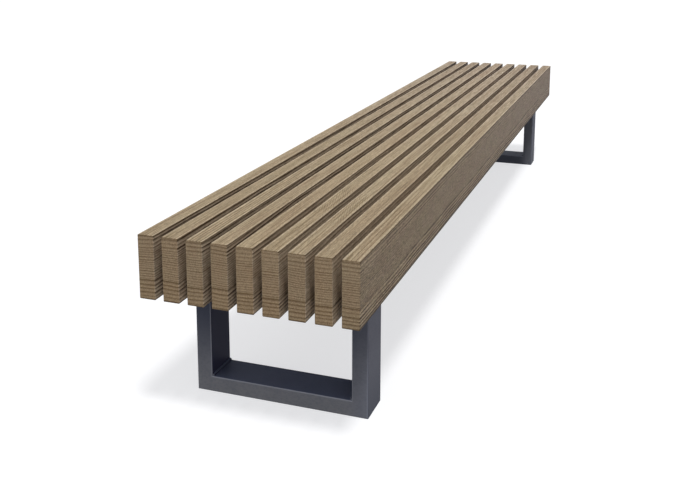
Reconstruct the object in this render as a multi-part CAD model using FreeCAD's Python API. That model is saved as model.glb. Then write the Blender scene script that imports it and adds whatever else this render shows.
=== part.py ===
import FreeCAD
import Part
import math
import os

# Backless street bench: timber slats on edge, bolted to two steel loop legs.
# X runs along the bench, Y from its front to its rear, and Z up. The origin is on the ground under the
# middle of the seat. Sizes are in millimetres.

# Seat
bench_length = 3000.0
seat_height = 450.0
slat_count = 9
slat_width = 40.0
slat_height = 150.0
slat_gap = 20.0
slat_edge_radius = 2.0

# Loop legs of rectangular tube, mitred where the uprights meet the ground rail
leg_setback = 180.0  # from the slats' ends to the leg
leg_inset = 40.0  # from the sides of the seat to the sides of the leg
tube_depth = 100.0  # along the bench
tube_face = 40.0  # across the face that looks along the bench
tube_wall = 3.0
tube_corner_radius = 4.0
least_inner_radius = 0.5  # inside the tube's corners, however thick its wall

# M8 hexagon bolts with washers, screwed up into threaded inserts in the slats
bolt_radius = 4.0
bolt_engagement = 20.0  # thread held in the insert
bolt_tip_chamfer = 1.0
bolt_head_step = 2.5  # from the shank to the head's flats
bolt_head_height = 5.3
bolt_hole_clearance = 0.5
washer_clearance = 0.2
washer_ring = 3.8  # from its hole to its rim
washer_thickness = 1.6
thread_clearance = 0.1
insert_wall = 2.0
insert_beyond_bolt = 5.0
insert_seat_clearance = 0.05
insert_hole_end_gap = 3.0

# Plate welded across the top of each leg, which carries the slats
plate_thickness = 8.0
plate_corner_radius = 8.0
washer_to_tube = 7.0
washer_to_plate_side = 7.0

# Tie bar under the middle of the slats, which keeps their gaps even
tie_bar_width = 60.0
tie_bar_thickness = 8.0
tie_bar_corner_radius = 8.0

washer_to_bar_end = 4.0  # on the plates and the tie bar alike

# M12 threaded bushes in the underside of each ground rail, for ground anchors
anchor_bore_radius = 5.1  # tapping size
anchor_bush_wall = 4.9
anchor_bush_clearance = 0.1
anchor_from_upright = 40.0
anchor_headroom = 12.0  # between the bush and the rail's upper wall

X_AXIS = FreeCAD.Vector(1, 0, 0)
Y_AXIS = FreeCAD.Vector(0, 1, 0)
Z_AXIS = FreeCAD.Vector(0, 0, 1)

slat_pitch = slat_width + slat_gap
seat_width = slat_count * slat_pitch - slat_gap
slat_bottom = seat_height - slat_height
slat_centres = [slat_width / 2 + i * slat_pitch - seat_width / 2 for i in range(slat_count)]

flats_radius = bolt_radius + bolt_head_step
washer_hole_radius = bolt_radius + washer_clearance
washer_radius = washer_hole_radius + washer_ring
insert_bore_radius = bolt_radius + thread_clearance
insert_radius = insert_bore_radius + insert_wall
insert_length = bolt_engagement + insert_beyond_bolt

leg_x = bench_length / 2 - leg_setback - tube_depth / 2
leg_half_width = seat_width / 2 - leg_inset
inner_corner_radius = max(tube_corner_radius - tube_wall, least_inner_radius)
bolt_from_leg_centre = tube_depth / 2 + washer_to_tube + washer_radius
plate_width = 2 * (bolt_from_leg_centre + washer_radius + washer_to_plate_side)
bar_length = 2 * (slat_centres[-1] + washer_radius + washer_to_bar_end)
plate_bottom = slat_bottom - plate_thickness
tie_bar_bottom = slat_bottom - tie_bar_thickness

anchor_bush_radius = anchor_bore_radius + anchor_bush_wall
anchor_rows = [side * (leg_half_width - tube_face - anchor_from_upright) for side in (-1, 1)]

# The x of each row of bolts across the bench
left_leg_columns = [-leg_x - bolt_from_leg_centre, -leg_x + bolt_from_leg_centre]
right_leg_columns = [leg_x - bolt_from_leg_centre, leg_x + bolt_from_leg_centre]
tie_bar_columns = [0.0]


def block(size_x, size_y, size_z, centre_x, centre_y, base_z):
    """A box that stands on base_z, centred on centre_x and centre_y."""
    corner = FreeCAD.Vector(centre_x - size_x / 2, centre_y - size_y / 2, base_z)
    return Part.makeBox(size_x, size_y, size_z, corner)


def rounded_along(box, axis, radius):
    """The box with its four edges that run along axis rounded."""
    edges = [edge for edge in box.Edges if abs(edge.tangentAt(edge.FirstParameter).dot(axis)) > 0.99]
    return box.makeFillet(radius, edges)


def prism_along_x(outline, centre_x, size_x):
    """A prism of the (y, z) outline, centred on centre_x."""
    points = [FreeCAD.Vector(centre_x - size_x / 2, y, z) for y, z in outline]
    return Part.Face(Part.makePolygon(points + points[:1])).extrude(X_AXIS * size_x)


def cylinders(radius, height, columns, rows, base_z):
    """Upright cylinders that stand on base_z, at every column x and row y."""
    places = [FreeCAD.Vector(x, y, base_z) for x in columns for y in rows]
    return [Part.makeCylinder(radius, height, place, Z_AXIS) for place in places]


def rings(radius, bore_radius, height, columns, rows, base_z):
    """Upright cylinders with a bore right through."""
    bodies = cylinders(radius, height, columns, rows, base_z)
    bores = cylinders(bore_radius, height, columns, rows, base_z)
    return [body.cut(bore) for body, bore in zip(bodies, bores)]


def slat(centre_y):
    """One slat, with its edges eased and a blind hole from below for each insert."""
    body = block(bench_length, slat_width, slat_height, 0, centre_y, slat_bottom)
    eased = body.makeFillet(slat_edge_radius, body.Edges)
    columns = left_leg_columns + tie_bar_columns + right_leg_columns
    hole_radius = insert_radius + insert_seat_clearance
    hole_depth = insert_length + insert_hole_end_gap
    return eased.cut(cylinders(hole_radius, hole_depth, columns, [centre_y], slat_bottom))


def tube(size_x, size_y, size_z, centre_x, centre_y, axis):
    """A straight length of the legs' tube that stands on the ground and runs along axis."""
    across = (FreeCAD.Vector(1, 1, 1) - axis) * tube_wall
    bore_size = FreeCAD.Vector(size_x, size_y, size_z) - across * 2
    outer = block(size_x, size_y, size_z, centre_x, centre_y, 0)
    bore = block(*bore_size, centre_x, centre_y, across.z)
    return rounded_along(outer, axis, tube_corner_radius).cut(rounded_along(bore, axis, inner_corner_radius))


def upright(centre_x, side):
    """One upright of a leg, mitred at its foot: side is -1 at the front and 1 at the rear."""
    outer_y = side * leg_half_width
    inner_y = side * (leg_half_width - tube_face)
    length = tube(tube_depth, tube_face, plate_bottom, centre_x, (outer_y + inner_y) / 2, Z_AXIS)
    below_mitre = [(outer_y, 0), (inner_y, tube_face), (inner_y, 0)]
    return length.cut(prism_along_x(below_mitre, centre_x, tube_depth))


def ground_rail(centre_x):
    """The rail of a leg that lies on the ground, mitred at both ends, with a hole for each anchor bush."""
    rail = tube(tube_depth, 2 * leg_half_width, tube_face, centre_x, 0, Y_AXIS)
    for side in (-1, 1):
        outer_y = side * leg_half_width
        inner_y = side * (leg_half_width - tube_face)
        above_mitre = [(outer_y, 0), (inner_y, tube_face), (outer_y, tube_face)]
        rail = rail.cut(prism_along_x(above_mitre, centre_x, tube_depth))
    hole_radius = anchor_bush_radius + anchor_bush_clearance
    return rail.cut(cylinders(hole_radius, tube_wall, [centre_x], anchor_rows, 0))


def drilled_bar(width, thickness, corner_radius, centre_x, columns):
    """A flat bar across the bench under the slats, with a hole under every slat in each bolt column."""
    base_z = slat_bottom - thickness
    bar = rounded_along(block(width, bar_length, thickness, centre_x, 0, base_z), Z_AXIS, corner_radius)
    return bar.cut(cylinders(bolt_radius + bolt_hole_clearance, thickness, columns, slat_centres, base_z))


def bolt(x, y, head_top):
    """A hexagon bolt that points up, with its head below head_top."""
    head_bottom = head_top - bolt_head_height
    hexagon_radius = flats_radius / math.cos(math.radians(30))
    turns = [math.radians(60 * corner) for corner in range(6)]
    offsets = [FreeCAD.Vector(math.cos(turn), math.sin(turn), 0) * hexagon_radius for turn in turns]
    corners = [FreeCAD.Vector(x, y, head_bottom) + offset for offset in offsets]
    hexagon = Part.Face(Part.makePolygon(corners + corners[:1])).extrude(Z_AXIS * bolt_head_height)
    # A cone at 30 degrees takes off the hexagon's lower corners, and meets its flats at their lower edge
    cone_top_radius = flats_radius + bolt_head_height / math.tan(math.radians(30))
    cone_base = FreeCAD.Vector(x, y, head_bottom)
    cone = Part.makeCone(flats_radius, cone_top_radius, bolt_head_height, cone_base, Z_AXIS)
    shank_top = slat_bottom + bolt_engagement
    shank = Part.makeCylinder(bolt_radius, shank_top - head_top, FreeCAD.Vector(x, y, head_top), Z_AXIS)
    tip_edges = [edge for edge in shank.Edges if abs(edge.CenterOfMass.z - shank_top) < 0.001]
    return hexagon.common(cone).fuse(shank.makeChamfer(bolt_tip_chamfer, tip_edges))


def save(name, solids):
    """Writes one node: a single solid, or a group of identical ones."""
    shape = solids[0] if len(solids) == 1 else Part.makeCompound(solids)
    shape.exportStep(os.path.join("parts", name + ".step"))


def save_slat_fasteners(name, columns, bar_bottom):
    """The bolts, washers and inserts that hold the slats to one bar."""
    washer_bottom = bar_bottom - washer_thickness
    washers = rings(washer_radius, washer_hole_radius, washer_thickness, columns, slat_centres, washer_bottom)
    inserts = rings(insert_radius, insert_bore_radius, insert_length, columns, slat_centres, slat_bottom)
    save(name + "_bolts", [bolt(x, y, washer_bottom) for x in columns for y in slat_centres])
    save(name + "_washers", washers)
    save(name + "_inserts", inserts)


def save_leg(name, centre_x, columns):
    """One loop leg with its top plate, its anchor bushes and the fasteners that hold the slats to it."""
    plate = drilled_bar(plate_width, plate_thickness, plate_corner_radius, centre_x, columns)
    bush_length = tube_face - tube_wall - anchor_headroom
    bushes = rings(anchor_bush_radius, anchor_bore_radius, bush_length, [centre_x], anchor_rows, 0)
    save(name + "_front_upright", [upright(centre_x, -1)])
    save(name + "_rear_upright", [upright(centre_x, 1)])
    save(name + "_ground_rail", [ground_rail(centre_x)])
    save(name + "_anchor_bushes", bushes)
    save(name + "_top_plate", [plate])
    save_slat_fasteners(name, columns, plate_bottom)


def save_tie_bar():
    """The tie bar with the fasteners that hold it to the slats."""
    bar = drilled_bar(tie_bar_width, tie_bar_thickness, tie_bar_corner_radius, 0, tie_bar_columns)
    save("tie_bar", [bar])
    save_slat_fasteners("tie_bar", tie_bar_columns, tie_bar_bottom)


os.makedirs("parts", exist_ok=True)
for number, centre_y in enumerate(slat_centres, start=1):
    save("slat_" + str(number), [slat(centre_y)])
save_leg("left_leg", -leg_x, left_leg_columns)
save_leg("right_leg", leg_x, right_leg_columns)
save_tie_bar()
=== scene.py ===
import math

import bmesh
import bpy
from mathutils import Matrix, Vector


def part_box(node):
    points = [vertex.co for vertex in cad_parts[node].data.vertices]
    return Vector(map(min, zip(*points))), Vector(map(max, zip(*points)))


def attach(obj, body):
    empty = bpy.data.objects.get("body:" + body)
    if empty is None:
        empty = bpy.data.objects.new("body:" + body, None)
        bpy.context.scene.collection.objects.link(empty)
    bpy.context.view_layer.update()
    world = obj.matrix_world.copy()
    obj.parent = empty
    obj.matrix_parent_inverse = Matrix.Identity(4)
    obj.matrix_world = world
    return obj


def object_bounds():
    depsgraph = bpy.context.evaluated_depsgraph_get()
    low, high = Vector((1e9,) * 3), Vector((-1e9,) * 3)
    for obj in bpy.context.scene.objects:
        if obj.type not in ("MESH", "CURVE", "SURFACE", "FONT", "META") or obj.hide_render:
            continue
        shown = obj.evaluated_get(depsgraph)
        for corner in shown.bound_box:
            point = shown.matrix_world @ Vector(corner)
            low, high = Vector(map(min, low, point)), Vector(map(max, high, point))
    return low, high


# Backless street bench of timber slats on two coated steel loop legs. Lengths are in metres, except inside
# the finishes, which count in millimetres.

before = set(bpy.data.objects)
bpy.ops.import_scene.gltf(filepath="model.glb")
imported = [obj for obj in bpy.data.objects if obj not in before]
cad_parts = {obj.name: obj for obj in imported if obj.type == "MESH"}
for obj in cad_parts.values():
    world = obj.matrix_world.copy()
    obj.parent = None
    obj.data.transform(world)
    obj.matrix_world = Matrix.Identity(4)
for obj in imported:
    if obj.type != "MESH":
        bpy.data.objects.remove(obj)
cad_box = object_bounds()

LEGS = ("left_leg", "right_leg")
MILLIMETRES = 1000  # in a metre


def colour(red, green, blue):
    """A colour given as it looks on a screen, from 0 to 255."""
    parts = [part / 255 for part in (red, green, blue)]
    linear = [part / 12.92 if part <= 0.04045 else ((part + 0.055) / 1.055) ** 2.4 for part in parts]
    return (*linear, 1.0)


# Growth rings, in millimetres. They lie close together between two heights over a slat's underside, which are
# the bottom and the top of its heart, and wider apart below and above.
HEART_BOTTOM = 47
HEART_TOP = 121
HEART_RING = 5.3
OUTER_RING = 8.7

# For each slat, from the front to the rear: how its rings lean, how striped its top is, its share of red, how
# pale its top is, how bold its rings are inside the gaps, and where along it a patch of flame figure lies, if
# it has one.
SLAT_GRAIN = (
    (-0.02, 0.75, 0.985, 1.055, 1.0, None),
    (0.03, 0.05, 1.01, 0.90, 0.6, None),
    (-0.03, 0.4, 0.99, 1.03, 0.65, -1155),
    (0.01, 0.2, 1.00, 0.99, 0.85, -1085),
    (0.04, 0.2, 1.01, 0.97, 0.95, None),
    (-0.02, 0.1, 1.00, 0.96, 1.0, None),
    (0.02, 0.8, 0.99, 1.02, 1.0, None),
    (-0.04, 0.2, 1.005, 0.92, 1.0, None),
    (0.03, 0.3, 0.99, 1.00, 1.0, None),
)

# The timber's colours. Each of the first two is a pair, whose halves lie in patches.
LIGHT_WOOD = (colour(183, 167, 139), colour(181, 163, 135))
DARK_WOOD = (colour(124, 107, 80), colour(121, 101, 77))
LATE_WOOD_ON_ENDS = colour(104, 86, 61)
LATE_WOOD_ON_SIDES = colour(72, 57, 39)
# Painted highlight along the top's edges, as well as wear
RUBBED_AND_HIGHLIT_WOOD = colour(212, 197, 170)
# Painted shade under the arrises and along the slat's foot
PAINTED_SHADE_WOOD = colour(86, 69, 48)
# Painted shade along the foot of the outer sides
FOOT_SHADE_WOOD = colour(52, 42, 30)
PORES = colour(92, 75, 54)

# Tints, which multiply the timber's colours
BROWN_ENDS = (0.825, 0.757, 0.727)
BROWN_END_RINGS = (0.965, 0.95, 0.92)
GREY_SIDES = ((0.66, 0.605, 0.64, 1), (0.69, 0.66, 0.66, 1))
PALE_RINGS = (1.5, 1.5, 1.5)
# Painted light, which pales the sides in the gaps against their shade
GAP_SIDES_PAINTED_LIGHT = (1.05, 1.03, 1.12)
# Paler towards the outer sides' left ends
PALE_LEFT_SIDES = (1.1, 1.1, 1.08)
# Painted shade on the sides in the gaps at the right end
GAP_SIDES_PAINTED_SHADE = (0.52, 0.5, 0.52)
# Painted cool light towards the right end, and more on the top there
COOL_LIGHT_RIGHT_END = (1.0, 1.0, 1.09)
COOL_LIGHT_TOP = (1.04, 1.06, 1.09)

# The powder coat's colours. It runs from deep to pale in clouds, and the tops of its orange peel are paler.
DEEP_COAT = colour(76, 81, 97)
PALE_COAT = colour(84, 88, 104)
# Pale paint that stands for dust and for painted light
COAT_DUST_AND_LIGHT = colour(150, 151, 158)
COAT_PEEL = colour(124, 126, 136)
# Pale arrises, a painted highlight as well as wear
WORN_AND_HIGHLIT_COAT = colour(166, 169, 182)
COAT_PALE_TOP = 225  # how far up the dust and painted light reach, in millimetres

# Tints, which multiply the powder coat's colours as painted light and shade. The outward sides have one high
# up and one low down.
# Painted shade on the legs' inward sides
COAT_SHADE_INSIDE_LEG = (0.47, 0.44, 0.57)
# Painted bluish sky light on upward faces
COAT_SKY_LIGHT_ON_TOP = (1.05, 1.12, 1.3)
# Painted light on the right leg's ends
COAT_LIGHT_ON_RIGHT_LEG = (1.08, 1.06, 0.98)
# Painted light on the outward sides, cooler high up and warmer low down
COAT_OUTWARD_LIGHT = ((1.0, 0.99, 1.04, 1), (0.99, 0.965, 0.915, 1))

# The metals' colours
DULL_STEEL = colour(176, 177, 180)
BRIGHT_STEEL = colour(205, 205, 205)
DULL_BRASS = colour(190, 152, 88)
BRIGHT_BRASS = colour(219, 186, 118)

# How deep each finish's relief is, in metres, and how much those that aren't metal mirror
TIMBER_RELIEF = 0.00035
COAT_RELIEF = 0.00012
METAL_RELIEF = 0.00003
TIMBER_GLOSS = 0.1
COAT_GLOSS = 0.03

# Weld beads
TUBE_CORNER = 0.004  # the radius of the leg tube's corners
WELD_RADIUS = 0.0045
WELD_PROUD = 0.0012  # from the steel to the middle of the bead
WELD_RIPPLE = 1.04  # how much each ripple swells
WELD_SIDES = 12
WELD_MERGE = 0.00001  # points of a bead that lie this near each other become one
STEPS_ALONG_BENCH = 48  # ripples come in pairs of steps, so every count of steps is even
STEPS_ACROSS_BENCH = 16
STEPS_ROUND_CORNER = 4
QUARTER_TURN = math.radians(90)

# Light
GROUND_LIGHT = 0.21  # share of the light that the ground sends back up
FLOOR_REACH = 30  # from its middle to its edges
FLOOR_LIFT = 0.0002  # over the legs' undersides, so that the floor doesn't shade them from below
FLOOR_SHADE = 0.46  # share of the floor's look that takes shadows, while the rest glows
FLOOR_GLOW = 1.2
FLOOR_WHITE = (0.97, 0.975, 1.0, 1)
SUN_STRENGTH = 1.85
SUN_SOFTNESS = math.radians(10)
SUN_WAY = (0.35, 0.24, -1.0)  # the way that its light goes
SKY_STRENGTH = 0.46
SKY_LEAN = 0.6  # how much brighter the sky is beyond the bench's left end than on average

# Camera
CAMERA_PLACE = (-3.19, -0.825, 1.103)
CAMERA_HEADING = math.radians(19.8)
CAMERA_DIP = math.radians(10.8)
CAMERA_LENS = 49.0  # in millimetres, as is its sensor
CAMERA_SENSOR = 36.0
CAMERA_SHIFT = -0.206  # of the sensor's width, upwards


class Value:
    """A node's output, such as a number that varies over a surface. Arithmetic on it adds Math nodes."""

    def __init__(self, finish, socket):
        self.finish = finish
        self.socket = socket

    def __add__(self, other):
        return self.finish.math("ADD", self, other)

    def __radd__(self, other):
        return self.finish.math("ADD", other, self)

    def __sub__(self, other):
        return self.finish.math("SUBTRACT", self, other)

    def __rsub__(self, other):
        return self.finish.math("SUBTRACT", other, self)

    def __mul__(self, other):
        return self.finish.math("MULTIPLY", self, other)

    def __rmul__(self, other):
        return self.finish.math("MULTIPLY", other, self)

    def __truediv__(self, other):
        return self.finish.math("DIVIDE", self, other)

    def __rtruediv__(self, other):
        return self.finish.math("DIVIDE", other, self)

    def size(self):
        """The number without its sign."""
        return self.finish.math("ABSOLUTE", self)

    def floor(self):
        """The whole number at or below it."""
        return self.finish.math("FLOOR", self)

    def at_least(self, other):
        """The greater of this number and another."""
        return self.finish.math("MAXIMUM", self, other)

    def step(self, start, end):
        """0 where the number is at start, 1 where it is at end, and a soft change between them."""
        settings = {"interpolation_type": "SMOOTHSTEP"}
        return self.finish.node("MapRange", settings, Value=self, From_Min=start, From_Max=end)

    def ridges(self):
        """Soft narrow ridges, one for each whole number that this one passes."""
        part = self - self.floor()
        return part.step(0.44, 0.8) - part.step(0.88, 1.0)


class Finish:
    """A material, or the sky, that is put together node by node."""

    def __init__(self, name, owners=None):
        owners = bpy.data.materials if owners is None else owners
        self.material = owners.new(name)
        self.material.use_nodes = True
        self.tree = self.material.node_tree
        self.tree.nodes.clear()

    def node(self, kind, settings=None, output=0, **sockets):
        """Adds a node, makes its settings and fills its sockets, and returns one output if it has any."""
        made = self.tree.nodes.new("ShaderNode" + kind)
        for name, value in (settings or {}).items():
            setattr(made, name, value)
        for name, value in sockets.items():
            self.fill(self.socket(made, name), value)
        return Value(self, made.outputs[output]) if made.outputs else None

    def socket(self, made, name):
        """The input called name, with underscores for spaces, or the input numbered in_0, in_1 and so on."""
        if name.startswith("in_"):
            return made.inputs[int(name[3:])]
        return made.inputs[name.replace("_", " ")]

    def fill(self, socket, value):
        """Links a socket to a value, or sets it."""
        if isinstance(value, Value):
            self.tree.links.new(value.socket, socket)
        else:
            socket.default_value = value

    def math(self, operation, *values):
        """A Math node on one value or more."""
        numbered = {f"in_{place}": value for place, value in enumerate(values)}
        return self.node("Math", {"operation": operation}, **numbered)

    def split(self, vector):
        """A vector's three parts."""
        made = self.node("SeparateXYZ", Vector=vector).socket.node
        return [Value(self, part) for part in made.outputs]

    def point_from(self, start=(0, 0, 0)):
        """The point on the piece, in millimetres from start."""
        point = self.node("TexCoord", output="Object")
        back = [-part for part in start]
        return self.node("Mapping", Vector=point, Location=back, Scale=[MILLIMETRES] * 3)

    def grain(self, point, size, seed, detail=2.0, roughness=0.5):
        """Noise whose lumps have this size along, across and up. Roughness is the share of finer lumps."""
        scale = [1 / part for part in size]
        lumps = self.node("Mapping", Vector=point, Location=(seed, 1.7 * seed, 2.3 * seed), Scale=scale)
        return self.node("TexNoise", Vector=lumps, Scale=1.0, Detail=detail, Roughness=roughness)

    def facing(self):
        """How far the surface faces along, across and up, either way, from 0 to 1."""
        return [part.size() for part in self.split(self.node("TexCoord", output="Normal"))]

    def turned(self):
        """Three masks: 1 where the surface looks along, across or up, and 0 where it doesn't."""
        return [part.step(0.72, 0.92) for part in self.facing()]

    def rounded(self):
        """1 on a rounded arris, between faces that look along, across or up."""
        along, across, up = self.facing()
        squarest = along.at_least(across).at_least(up)
        return 1 - squarest.step(0.8, 0.97)

    def mix(self, factor, first, second, blend="MIX"):
        """A colour between two colours."""
        settings = {"data_type": "RGBA", "blend_type": blend}
        return self.node("Mix", settings, output=2, in_0=factor, in_6=first, in_7=second)

    def tinted(self, shade, tint, where=1.0):
        """A colour, multiplied by a tint where there is any."""
        tint = tint if isinstance(tint, Value) else (*tint, 1)
        return self.mix(where, shade, tint, "MULTIPLY")

    def looked_at(self):
        """1 for what is seen, whether straight, mirrored or through glass, and 0 for what only lights."""
        path = self.node("LightPath").socket.node.outputs
        seen = [Value(self, path[name]) for name in ("Is Camera Ray", "Is Glossy Ray", "Is Transmission Ray")]
        return seen[0].at_least(seen[1]).at_least(seen[2])

    def surface(self, shade, roughness, height, relief, **constants):
        """Ends the material in one Principled BSDF, whose relief is this deep between heights of 0 and 1."""
        bump = self.node("Bump", Height=height, Distance=relief)
        shader = self.node("BsdfPrincipled", Base_Color=shade, Roughness=roughness, Normal=bump, **constants)
        self.node("OutputMaterial", Surface=shader)
        return self.material


class Timber:
    """The oiled timber of one slat. Its growth rings lie nearly level, so they line its ends and its sides,
    and its top shows long streaks instead. Across and up are counted from the middle of its underside."""

    def __init__(self, number, slat_grain):
        self.lean, self.stripes, self.warmth, self.paleness, self.bold, self.flame_at = slat_grain
        self.seed = 17.3 * number
        self.finish = Finish(f"timber_{number}")
        low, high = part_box(f"slat_{number}")
        centre = MILLIMETRES * (low[1] + high[1]) / 2
        # How far along, across and up its faces lie
        self.end = MILLIMETRES * high[0]
        self.side = MILLIMETRES * (high[1] - low[1]) / 2
        self.top = MILLIMETRES * (high[2] - low[2])
        self.point = self.finish.point_from((0, centre, MILLIMETRES * low[2]))
        self.along, self.across, self.up = self.finish.split(self.point)
        self.mark_faces(centre)
        self.lay_rings()

    def mark_faces(self, centre):
        """Masks for the faces and for how far along they are. A side is outside, or sheltered in a gap."""
        self.on_end, _, self.on_top = self.finish.turned()
        self.on_side = 1 - self.on_end.at_least(self.on_top)
        seat_side = MILLIMETRES * cad_box[1][1]
        from_middle = (self.across + centre).size()
        self.outside = self.on_side * from_middle.step(seat_side - 3, seat_side - 1)
        self.sheltered = self.on_side - self.outside
        self.by_end = self.along.size().step(700, 1400)
        self.to_right = self.along.step(-1000, 600)

    def lay_rings(self):
        """The depth of each point among the rings, and masks for what lies below and above the heart."""
        sway = self.grain((520, 300, 300), 0) - 0.5
        self.wobble = self.grain((110, 26, 30), 5, detail=3) - 0.5
        crowding = self.grain((1600, 500, 16), 12, detail=1) - 0.5
        self.depth = self.up + self.across * self.lean + sway * 22 + self.wobble * 1.3 + crowding * 6
        self.below = self.depth.step(HEART_BOTTOM + 4, HEART_BOTTOM - 3)
        self.above = self.depth.step(HEART_TOP - 4, HEART_TOP + 3)

    def grain(self, size, layer, detail=2.0, roughness=0.5):
        """Noise that differs from slat to slat and from layer to layer."""
        return self.finish.grain(self.point, size, self.seed + layer, detail, roughness)

    def late_wood(self):
        """How strongly the dark late wood of the rings shows on the ends and sides, from 0 to 1."""
        beyond = (self.depth - HEART_TOP).at_least(0) - (HEART_BOTTOM - self.depth).at_least(0)
        ring = self.depth / HEART_RING - beyond * (1 / HEART_RING - 1 / OUTER_RING)
        count = ring.floor()
        part = ring - count
        lot = self.finish.node("TexWhiteNoise", {"noise_dimensions": "1D"}, W=count + self.seed + 0.5)
        lot = lot + (lot - 0.5) * self.outside * (1 - self.by_end) * 0.6
        paled = self.grain((90, 50, 8), 8, detail=4).step(0.38, 0.62) * self.on_side * 0.5
        line = (part.step(0.25, 0.72) - part.step(0.78, 1.0)) * (lot * 0.45 + 0.6) * (1 - paled)

        in_heart = 1 - (self.below + self.above)
        on_ends = 0.66 + self.below * 0.03 - self.above * 0.06
        on_sides = self.below * (self.outside * (0.5 - self.by_end * 0.2) + 0.95)
        on_sides = on_sides + self.above * (self.sheltered * 0.5 + 0.5)
        on_sides = on_sides + in_heart * (self.by_end * 0.35 - self.outside * 0.15) + 0.4
        level = line * (self.on_end * on_ends + (1 - self.on_end) * on_sides)
        level = level * (1 - self.sheltered * (1 - self.bold))
        # The ring at the bottom of the heart is dark all along
        first = 1 - (self.depth - HEART_BOTTOM).size().step(0.9, 2.4)
        return level.at_least(first * (0.9 - self.on_end * 0.15 - paled)) * (1 - self.on_top)

    def streaks(self, fine):
        """How dark the top is: fine streaks and bands, stripes where it cuts the rings, broad patches, and
        flame figure on some slats."""
        band = self.grain((300, 3.0, 12), 2)
        streaks = fine.step(0.45, 0.58) * 0.44 + band.step(0.47, 0.6) * 0.26
        drift = self.grain((1500, 48, 60), 3, detail=1)
        cut = self.across * (min(self.stripes, 0.4) / 3.4) + drift * (13 * (1 - 1.15 * self.stripes))
        cut = (cut + self.wobble * 0.5).ridges()
        figured = self.along.size().step(850, 1250) * 0.65 + 0.35
        streaks = streaks + cut * (figured * (self.stripes * 0.85) + 0.03) + 0.12
        broad = self.grain((50, 5.5, 7), 14).step(0.4, 0.62)
        streaks = streaks + (broad - 0.5) * self.to_right * 0.24
        if self.flame_at is not None:
            spread = (self.along - self.flame_at).size().step(150, 70)
            flame = (self.across / 5.5 - self.along / 20 + self.wobble * 1.5).ridges()
            streaks = streaks + flame * spread * 0.42
        return streaks

    def blotches(self):
        """How dark the ends and sides are between their rings: streaks, clouds on the sides, and tide marks
        low on the outer sides."""
        streaks = self.grain((260, 6, 2.2), 4, detail=3).step(0.38, 0.66)
        clouds = self.grain((90, 30, 34), 9, detail=3).step(0.34, 0.68) * (1 - self.on_end)
        tides = self.grain((240, 40, 8), 13, detail=3).step(0.5, 0.68) * self.up.step(66, 40)
        dark = streaks * (0.2 - self.outside * 0.06) + clouds * (0.2 - self.outside * 0.08)
        return dark + tides * self.outside * 0.3

    def bare_wood_and_highlight(self, dark, late_wood):
        """The wood's own colour, paler along the top's edges, with painted highlight as well as wear."""
        finish = self.finish
        patch = self.grain((520, 34, 40), 6).step(0.34, 0.68)
        shade = finish.mix(dark, finish.mix(patch, *LIGHT_WOOD), finish.mix(patch, *DARK_WOOD))
        late_colour = finish.mix(self.on_side, LATE_WOOD_ON_ENDS, LATE_WOOD_ON_SIDES)
        shade = finish.mix(late_wood, shade, late_colour)
        # Painted highlight along the top's front and rear edges, as well as wear
        front_edge = self.across.step(6.5 - self.side, 2.5 - self.side)
        rear_edge = self.across.step(self.side - 7.5, self.side - 2.5)
        rubbed_painted_light = rear_edge * 0.44 + front_edge * 0.38
        return finish.mix(self.on_top * rubbed_painted_light, shade, RUBBED_AND_HIGHLIT_WOOD)

    def weathered_and_lit(self, shade):
        """The ends turn browner, and the outer sides turn greyer, or pale towards their left ends. The
        sheltered sides are painted paler, as painted light against their shade in the gaps. On all sides the
        wide rings are paler than the heart."""
        finish = self.finish
        shade = finish.tinted(shade, BROWN_ENDS, self.on_end)
        shade = finish.tinted(shade, BROWN_END_RINGS, self.on_end * self.below)
        mottle = self.grain((70, 40, 28), 10).step(0.38, 0.62)
        shade = finish.tinted(shade, finish.mix(mottle, *GREY_SIDES), self.outside)
        shade = finish.tinted(shade, PALE_RINGS, self.on_side * (self.below + self.above) * 0.3)
        shade = finish.tinted(shade, PALE_RINGS, self.outside * self.below * 0.3)
        # Painted light that pales the sides in the gaps
        pale = 1.1 - 0.1 * self.bold
        shade = finish.tinted(shade, [part * pale for part in GAP_SIDES_PAINTED_LIGHT], self.sheltered)
        # Paler towards the outer sides' left ends
        return finish.tinted(shade, PALE_LEFT_SIDES, self.outside * self.along.step(-600, -1200))

    def shaded_at_edges(self, shade):
        """Painted shade under the top arrises and along the slat's foot, darkest along the foot of the outer
        sides.
        """
        finish = self.finish
        # Painted shade under the top arrises and along the slat's foot
        painted_shade = self.on_side * self.up.step(self.top - 5.5, self.top - 2.5) * 0.8
        painted_shade = painted_shade + self.on_end * self.up.step(self.top - 4.5, self.top - 2) * 0.22
        painted_shade = painted_shade + self.up.step(6, 2) * (self.outside * 0.3 + self.on_end * 0.1 + 0.4)
        end_arris = self.along.size().step(self.end - 4, self.end - 1.5) * finish.rounded()
        painted_shade = painted_shade + end_arris * self.up.step(self.top - 4, self.top - 2) * 0.6
        shade = finish.mix(painted_shade, shade, PAINTED_SHADE_WOOD)
        # Darker painted shade along the foot of the outer sides
        return finish.mix(self.outside * self.up.step(9, 4) * 0.7, shade, FOOT_SHADE_WOOD)

    def toned_and_lit(self, shade):
        """The slat's own tone, with painted cool light that greys it and pales its top towards its right
        end, and painted shade that darkens its sheltered sides there."""
        finish = self.finish
        # Painted shade in the gaps at the right end
        shade = finish.tinted(shade, GAP_SIDES_PAINTED_SHADE, self.sheltered * self.along.step(1200, 1450))
        # Painted cool light towards the right end, on every face and more on the top
        shade = finish.tinted(shade, COOL_LIGHT_RIGHT_END, self.along.step(-700, 1500))
        shade = finish.tinted(shade, (1.02 * self.paleness, self.paleness, 0.99 * self.paleness), self.on_top)
        shade = finish.tinted(shade, COOL_LIGHT_TOP, self.on_top * self.to_right)
        return finish.tinted(shade, (self.warmth, 1.0, 2 - self.warmth))

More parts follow.
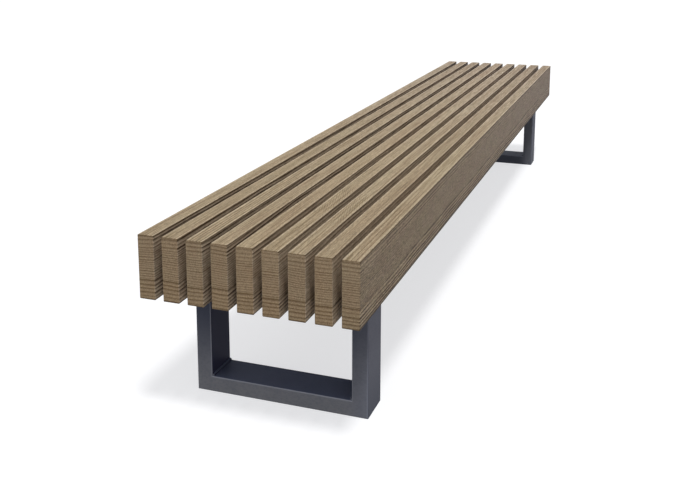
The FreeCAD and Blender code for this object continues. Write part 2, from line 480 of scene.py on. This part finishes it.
    def flecked(self, shade):
        """Small pale and dark flecks everywhere, and longer ones towards the right end."""
        flecks = self.grain((16, 3.2, 3.2), 11, roughness=1.0) - 0.5
        long_flecks = self.grain((48, 7, 7), 15, roughness=1.0) - 0.5
        flecks = flecks * (self.outside * 0.9 + 1.6) + long_flecks * self.along.step(-1100, 500) * 1.2
        return self.finish.tinted(shade, flecks + 1)

    def material(self):
        """The finished material."""
        fine = self.grain((130, 1.5, 5), 1, detail=3)
        late_wood = self.late_wood()
        dark = self.blotches() * (1 - self.on_top) + self.streaks(fine) * self.on_top
        shade = self.bare_wood_and_highlight(dark, late_wood)
        shade = self.flecked(self.toned_and_lit(self.shaded_at_edges(self.weathered_and_lit(shade))))
        pores = self.grain((14, 0.55, 0.55), 7, detail=1).step(0.6, 0.72)
        shade = self.finish.mix(pores * 0.22, shade, PORES)
        height = dark * 0.3 + late_wood * (self.on_side * 0.9 + 0.7) - pores * 0.8 + fine * 0.4
        roughness = dark * 0.1 + 0.58
        return self.finish.surface(shade, roughness, height, TIMBER_RELIEF, Specular_IOR_Level=TIMBER_GLOSS)


def powder_coat(name, paled):
    """Anthracite powder coat with its fine orange peel. Dust and painted light make it paler low on its
    ends, except at the front, where shoes rub the dust off and the painted light is kept weak, high on its
    outward sides, and less on the right leg. The argument after the name is how pale the arrises are,
    with painted highlight as well as wear."""
    finish = Finish(name)
    point = finish.point_from()
    along, across, height = finish.split(point)
    on_end, on_side, on_top = finish.turned()
    leg_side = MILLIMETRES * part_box("left_leg_rear_upright")[1][1]
    inward = on_side * across.size().step(leg_side - 10, leg_side - 30)
    outward = on_side - inward
    far = along.step(-600, 600)
    low_down = height.step(COAT_PALE_TOP, -20)
    peel = finish.grain(point, (1.1, 1.1, 1.1), 3)
    cloud = finish.grain(point, (60, 60, 60), 8, detail=3)
    specks = finish.grain(point, (7, 7, 4), 9, detail=3)

    # Dust and painted light: low on the ends, weak at the front and on the right leg, high on outward sides
    rubbed_painted_light = across.step(60 - leg_side, 15 - leg_side)
    front_dust_and_light = rubbed_painted_light * (0.2 + 0.18 * height.step(COAT_PALE_TOP, 130))
    near_dust_and_light = low_down * 0.8 * (1 - rubbed_painted_light) + front_dust_and_light
    dust_and_light = on_end * (near_dust_and_light * (1 - far) + rubbed_painted_light * far * 0.24) + on_top * 0.08
    dust_and_light = dust_and_light + outward * (1 - low_down) * (0.42 - far * 0.3)
    dust_and_light = dust_and_light * (specks.step(0.3, 0.6) * 0.2 + 0.9 + (cloud - 0.5) * 0.4)

    shade = finish.mix(dust_and_light, finish.mix(cloud, DEEP_COAT, PALE_COAT), COAT_DUST_AND_LIGHT)
    shade = finish.mix(peel.step(0.45, 0.75) * 0.12, shade, COAT_PEEL)
    # Painted shade on the legs' inward sides
    shade = finish.tinted(shade, COAT_SHADE_INSIDE_LEG, inward)
    # Painted bluish sky light on upward faces
    shade = finish.tinted(shade, COAT_SKY_LIGHT_ON_TOP, on_top)
    # Painted light on the right leg's ends
    shade = finish.tinted(shade, COAT_LIGHT_ON_RIGHT_LEG, on_end * far)
    # Painted light on the outward sides, cooler high up and warmer low down
    shade = finish.tinted(shade, finish.mix(low_down, *COAT_OUTWARD_LIGHT), outward)
    # Painted highlight along the arrises, as well as wear, stronger low inside the loop and on the left leg
    in_loop = across.size().step(leg_side - 20, leg_side - 30) * height.step(12, 30)
    wear_and_highlight = (in_loop * (0.5 + 0.5 * low_down) + 0.4) * (1 - far * 0.6) * paled
    shade = finish.mix(finish.rounded() * wear_and_highlight, shade, WORN_AND_HIGHLIT_COAT)
    roughness = cloud * 0.12 + dust_and_light * 0.1 + 0.42
    return finish.surface(shade, roughness, peel, COAT_RELIEF, Specular_IOR_Level=COAT_GLOSS)


def turned_metal(name, dull, bright, seed, mark, stain, roughness):
    """Metal with fine marks from the lathe and with stains. Mark is a mark's height, and stain is a stain's
    size."""
    finish = Finish(name)
    point = finish.point_from()
    marks = finish.grain(point, (3, 3, mark), seed)
    stains = finish.grain(point, (stain, stain, stain), seed + 3, detail=3)
    shade = finish.mix(stains, dull, bright)
    return finish.surface(shade, marks * 0.2 + roughness, marks, METAL_RELIEF, Metallic=1.0)


def weld_ring(bead, place):
    """The ring at place that a weld bead sets off from to the right, as its vertices and edges."""
    spot = Matrix.Translation(place) @ Matrix.Rotation(QUARTER_TURN, 4, "Y")
    made = bmesh.ops.create_circle(bead, segments=WELD_SIDES, radius=WELD_RADIUS, matrix=spot)
    edges = dict.fromkeys(edge for vert in made["verts"] for edge in vert.link_edges)
    return [*made["verts"], *edges]


def carried(bead, ring, steps, push=(0, 0, 0), turn=0.0, centre=(0, 0, 0)):
    """Carries the ring of a weld bead along, pushed or turned about centre, and gives back where it ends. The
    bead swells at every other step."""
    for step in range(steps):
        swept = bmesh.ops.spin(
            bead,
            geom=ring,
            cent=centre,
            axis=(0, 0, 1),
            angle=turn / steps,
            dvec=Vector(push) / steps,
            steps=1,
        )
        ring = swept["geom_last"]
        points = [part for part in ring if isinstance(part, bmesh.types.BMVert)]
        middle = sum((point.co for point in points), Vector()) / len(points)
        swell = WELD_RIPPLE if step % 2 else 1 / WELD_RIPPLE
        bmesh.ops.scale(bead, vec=(swell, swell, swell), space=Matrix.Translation(-middle), verts=points)
    return ring


def show_welds(name, bead, coat):
    """Closes the beads, makes them one piece of the bench and gives it its finish."""
    bmesh.ops.remove_doubles(bead, verts=bead.verts, dist=WELD_MERGE)
    bmesh.ops.holes_fill(bead, edges=bead.edges)
    bmesh.ops.recalc_face_normals(bead, faces=bead.faces)
    for face in bead.faces:
        face.smooth = True
    mesh = bpy.data.meshes.new(name)
    bead.to_mesh(mesh)
    bead.free()
    mesh.materials.append(coat)
    welds = bpy.data.objects.new(name, mesh)
    bpy.context.scene.collection.objects.link(welds)
    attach(welds, "root")


def weld_foot(leg, coat):
    """The two fillet welds inside a leg, where its uprights stand on the ground rail."""
    bead = bmesh.new()
    rail_low, rail_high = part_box(f"{leg}_ground_rail")
    run = rail_high[0] - rail_low[0] - 2 * TUBE_CORNER
    for upright, side in ((f"{leg}_front_upright", -1), (f"{leg}_rear_upright", 1)):
        inner = min(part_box(upright)[0][1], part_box(upright)[1][1], key=abs)
        place = (rail_low[0] + TUBE_CORNER, inner - side * WELD_PROUD, rail_high[2] + WELD_PROUD)
        carried(bead, weld_ring(bead, place), STEPS_ALONG_BENCH, push=(run, 0, 0))
    show_welds(f"{leg}_foot_welds", bead, coat)


def weld_plate(leg, coat):
    """The welds round the tops of a leg's two uprights, under its top plate."""
    bead = bmesh.new()
    plate_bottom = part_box(f"{leg}_top_plate")[0][2]
    for upright in (f"{leg}_front_upright", f"{leg}_rear_upright"):
        low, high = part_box(upright)
        left, right = low[0] + TUBE_CORNER, high[0] - TUBE_CORNER
        front, rear = low[1] + TUBE_CORNER, high[1] - TUBE_CORNER
        start = (left, front - TUBE_CORNER - WELD_PROUD, plate_bottom - WELD_PROUD)
        ring = weld_ring(bead, start)
        # Each side of the tube, and then the corner at its end
        sides = (
            ((right - left, 0, 0), STEPS_ALONG_BENCH, (right, front, 0)),
            ((0, rear - front, 0), STEPS_ACROSS_BENCH, (right, rear, 0)),
            ((left - right, 0, 0), STEPS_ALONG_BENCH, (left, rear, 0)),
            ((0, front - rear, 0), STEPS_ACROSS_BENCH, (left, front, 0)),
        )
        for push, steps, corner in sides:
            ring = carried(bead, ring, steps, push=push)
            ring = carried(bead, ring, STEPS_ROUND_CORNER, turn=QUARTER_TURN, centre=corner)
    show_welds(f"{leg}_plate_welds", bead, coat)


def paint(node, material):
    """Gives a node of the frame its finish."""
    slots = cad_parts[node].data.materials
    for place in range(len(slots)):
        slots[place] = material


def dress_slats():
    """Gives each slat a timber finish of its own."""
    for number, slat_grain in enumerate(SLAT_GRAIN, start=1):
        paint(f"slat_{number}", Timber(number, slat_grain).material())


def dress_legs():
    """Coats the legs and the tie bar, and adds the legs' weld beads, whose arrises get no wear and no painted
    highlight.
    """
    coat = powder_coat("powder_coat", paled=0.85)
    weld_coat = powder_coat("weld_coat", paled=0)
    for leg in LEGS:
        for part in ("front_upright", "rear_upright", "ground_rail", "top_plate"):
            paint(f"{leg}_{part}", coat)
        weld_foot(leg, weld_coat)
        weld_plate(leg, weld_coat)
    paint("tie_bar", coat)


def dress_fasteners():
    """Makes the bolts, washers and anchor bushes stainless steel, and the inserts brass."""
    steel = turned_metal("stainless", DULL_STEEL, BRIGHT_STEEL, seed=11, mark=0.12, stain=5, roughness=0.26)
    brass = turned_metal("brass", DULL_BRASS, BRIGHT_BRASS, seed=21, mark=0.15, stain=6, roughness=0.3)
    for group in (*LEGS, "tie_bar"):
        paint(f"{group}_bolts", steel)
        paint(f"{group}_washers", steel)
        paint(f"{group}_inserts", brass)
    for leg in LEGS:
        paint(f"{leg}_anchor_bushes", steel)


def floor_finish():
    """The floor looks white, with part of the bench's shadow, but sends back less light. It is clear from
    below."""
    finish = Finish("floor")
    glow = finish.node("Emission", Color=FLOOR_WHITE, Strength=FLOOR_GLOW)
    lit = finish.node("BsdfDiffuse", Color=(1, 1, 1, 1))
    dim = finish.node("BsdfDiffuse", Color=(GROUND_LIGHT, GROUND_LIGHT, GROUND_LIGHT, 1))
    shown = finish.node("MixShader", in_0=FLOOR_SHADE, in_1=glow, in_2=lit)
    both = finish.node("MixShader", in_0=finish.looked_at(), in_1=dim, in_2=shown)
    seen = finish.node("LightPath", output="Is Camera Ray")
    from_below = finish.node("NewGeometry", output="Backfacing") * seen
    clear = finish.node("BsdfTransparent")
    finish.node("OutputMaterial", Surface=finish.node("MixShader", in_0=from_below, in_1=both, in_2=clear))
    return finish.material


def lay_floor():
    """A wide pale floor."""
    grid = bmesh.new()
    bmesh.ops.create_grid(grid, x_segments=1, y_segments=1, size=FLOOR_REACH)
    bmesh.ops.translate(grid, vec=(0, 0, FLOOR_LIFT), verts=grid.verts)
    mesh = bpy.data.meshes.new("floor")
    grid.to_mesh(mesh)
    grid.free()
    mesh.materials.append(floor_finish())
    floor = bpy.data.objects.new("floor", mesh)
    bpy.context.scene.collection.objects.link(floor)


def light_sky():
    """A soft sky, brighter beyond the bench's left end. It is plain white where it is looked at."""
    sky = Finish("sky", bpy.data.worlds)
    bpy.context.scene.world = sky.material
    direction = sky.split(sky.node("TexCoord", output="Generated"))
    strength = (1 - direction[0] * SKY_LEAN) * SKY_STRENGTH
    looked_at = sky.looked_at()
    strength = strength * (1 - looked_at) + looked_at
    glow = sky.node("Background", Color=(1, 1, 1, 1), Strength=strength)
    sky.node("OutputWorld", Surface=glow)


def hang_sun():
    """A wide soft lamp overhead, a little towards the bench's left end and its front."""
    lamp = bpy.data.lights.new("overhead", "SUN")
    lamp.energy = SUN_STRENGTH
    lamp.angle = SUN_SOFTNESS
    sun = bpy.data.objects.new("overhead", lamp)
    bpy.context.scene.collection.objects.link(sun)
    sun.rotation_mode = "QUATERNION"
    sun.rotation_quaternion = Vector(SUN_WAY).to_track_quat("-Z", "Y")


def place_camera():
    """A camera that looks along the bench from beyond its left end, a little to its front."""
    data = bpy.data.cameras.new("camera")
    data.lens = CAMERA_LENS
    data.sensor_width = CAMERA_SENSOR
    data.shift_y = CAMERA_SHIFT
    camera = bpy.data.objects.new("camera", data)
    bpy.context.scene.collection.objects.link(camera)
    camera.location = CAMERA_PLACE
    level = math.cos(CAMERA_DIP)
    look = Vector((math.cos(CAMERA_HEADING) * level, math.sin(CAMERA_HEADING) * level, -math.sin(CAMERA_DIP)))
    camera.rotation_mode = "QUATERNION"
    camera.rotation_quaternion = look.to_track_quat("-Z", "Y")
    bpy.context.scene.camera = camera


place_camera()
lay_floor()
light_sky()
hang_sun()
dress_slats()
dress_legs()
dress_fasteners()

bpy.context.scene.view_settings.view_transform = "Standard"
